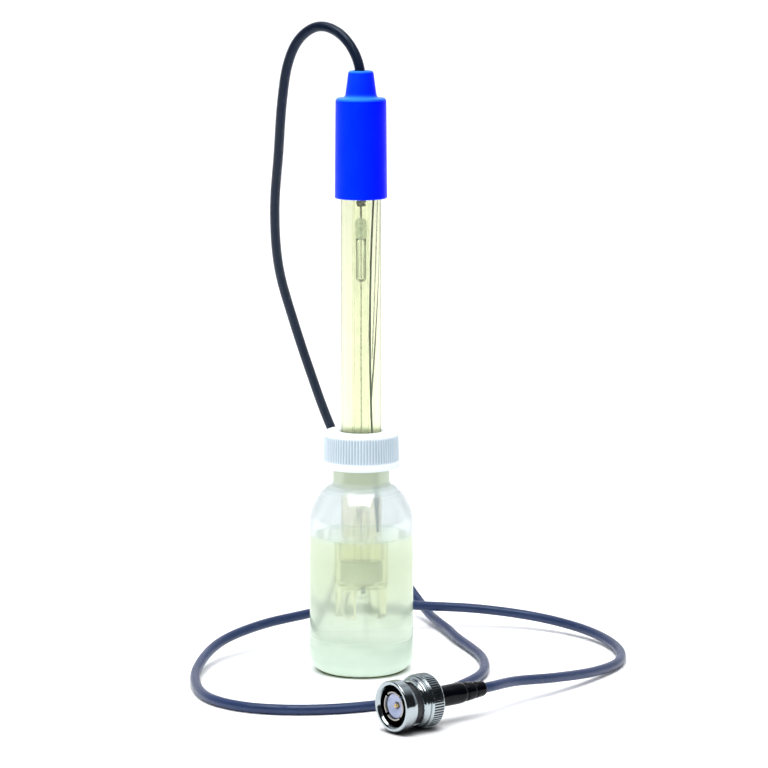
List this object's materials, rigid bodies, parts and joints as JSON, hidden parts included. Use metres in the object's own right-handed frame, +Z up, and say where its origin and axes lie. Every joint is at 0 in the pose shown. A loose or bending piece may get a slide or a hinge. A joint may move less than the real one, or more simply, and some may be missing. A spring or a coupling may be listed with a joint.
{
  "type": "ph electrode",
  "caption": "Combination pH electrode with a slotted bulb guard, standing in a screw-lid storage bottle, with a coaxial lead ending in a bayonet plug.",
  "frame": {"origin": "centre of the bottle's foot, on the bench", "axes": "+Z up along the probe; -Y towards the front, where the plug lies; +X to the right"},
  "size_m": [0.1333, 0.1641, 0.197],
  "materials": {
    "milky_polythene": "milky, translucent",
    "solution": "clear, pale yellow-green",
    "slate_pvc": "satin",
    "nickel": "bright plate",
    "ptfe": "satin",
    "gold_plate": "polished",
    "black_rubber": "matt",
    "copper": "bright",
    "core_insulation": "satin",
    "shrink_sleeve": "gloss",
    "spring_steel": "bright",
    "clear_plastic": "clear, faint yellow",
    "blue_plastic": "satin gloss",
    "epoxy": "matt",
    "glass": "clear",
    "ceramic": "matt",
    "silver": "bright",
    "silver_chloride": "dull",
    "reference_gel": "clear, pale yellow",
    "white_plastic": "satin"
  },
  "bodies": {
    "bottle": {"bottle": "milky_polythene", "storage_solution": "solution", "cable": "slate_pvc", "plug_shell": "nickel", "plug_dielectric": "ptfe", "contact_pin": "gold_plate", "plug_gasket": "black_rubber", "centre_conductor": "copper", "cable_core_plug_end": "core_insulation", "cable_braid": "copper", "crimp_ferrule": "nickel", "strain_boot": "shrink_sleeve", "wave_spring": "spring_steel", "retaining_ring": "spring_steel"},
    "electrode": {"body_tube": "clear_plastic", "probe_cap": "blue_plastic", "cap_potting": "epoxy", "stem_tube": "glass", "ph_bulb": "glass", "junction_plug": "ceramic", "ceramic_junction": "ceramic", "inner_silver_wire": "silver", "wire_capillary": "glass", "capillary_seal": "epoxy", "wire_splice": "silver_chloride", "signal_conductor": "copper", "reference_wire": "silver_chloride", "reference_return_wire": "silver", "reference_gel": "reference_gel", "cable_core_probe_end": "core_insulation", "shield_pigtail": "copper"},
    "lid_seal": {"seal_washer": "black_rubber", "o_ring": "black_rubber"},
    "lid": {"screw_lid": "white_plastic"},
    "thrust_ring": {"thrust_washer": "spring_steel"},
    "coupling_sleeve": {"bayonet_sleeve": "nickel"}
  },
  "joints": [
    {"name": "electrode_slide", "type": "slide", "parent": "bottle", "child": "electrode", "axis": [0, 0, 1], "range_m": [-0.008, 0.062], "deforming": ["cable"]},
    {"name": "lid_rise", "type": "slide", "parent": "bottle", "child": "lid_seal", "axis": [0, 0, 1], "range_m": [0, 0.00353]},
    {"name": "lid_turn", "type": "hinge", "parent": "lid_seal", "child": "lid", "pos_m": [0, 0, 0.0684], "axis": [0, 0, 1], "range_deg": [0, 400]},
    {"name": "sleeve_slide", "type": "slide", "parent": "bottle", "child": "thrust_ring", "axis": [0.7771, 0.6293, 0], "range_m": [-0.0008, 0], "stiffness_N_per_m": 12000, "springref_m": 0.0003},
    {"name": "sleeve_turn", "type": "hinge", "parent": "thrust_ring", "child": "coupling_sleeve", "pos_m": [0.0083, -0.079, 0.0079], "axis": [0.7771, 0.6293, 0], "continuous": true}
  ],
  "couplings": [
    {"joint": "lid_turn", "follows": "lid_rise", "rad_per_m": 1979}
  ]
}
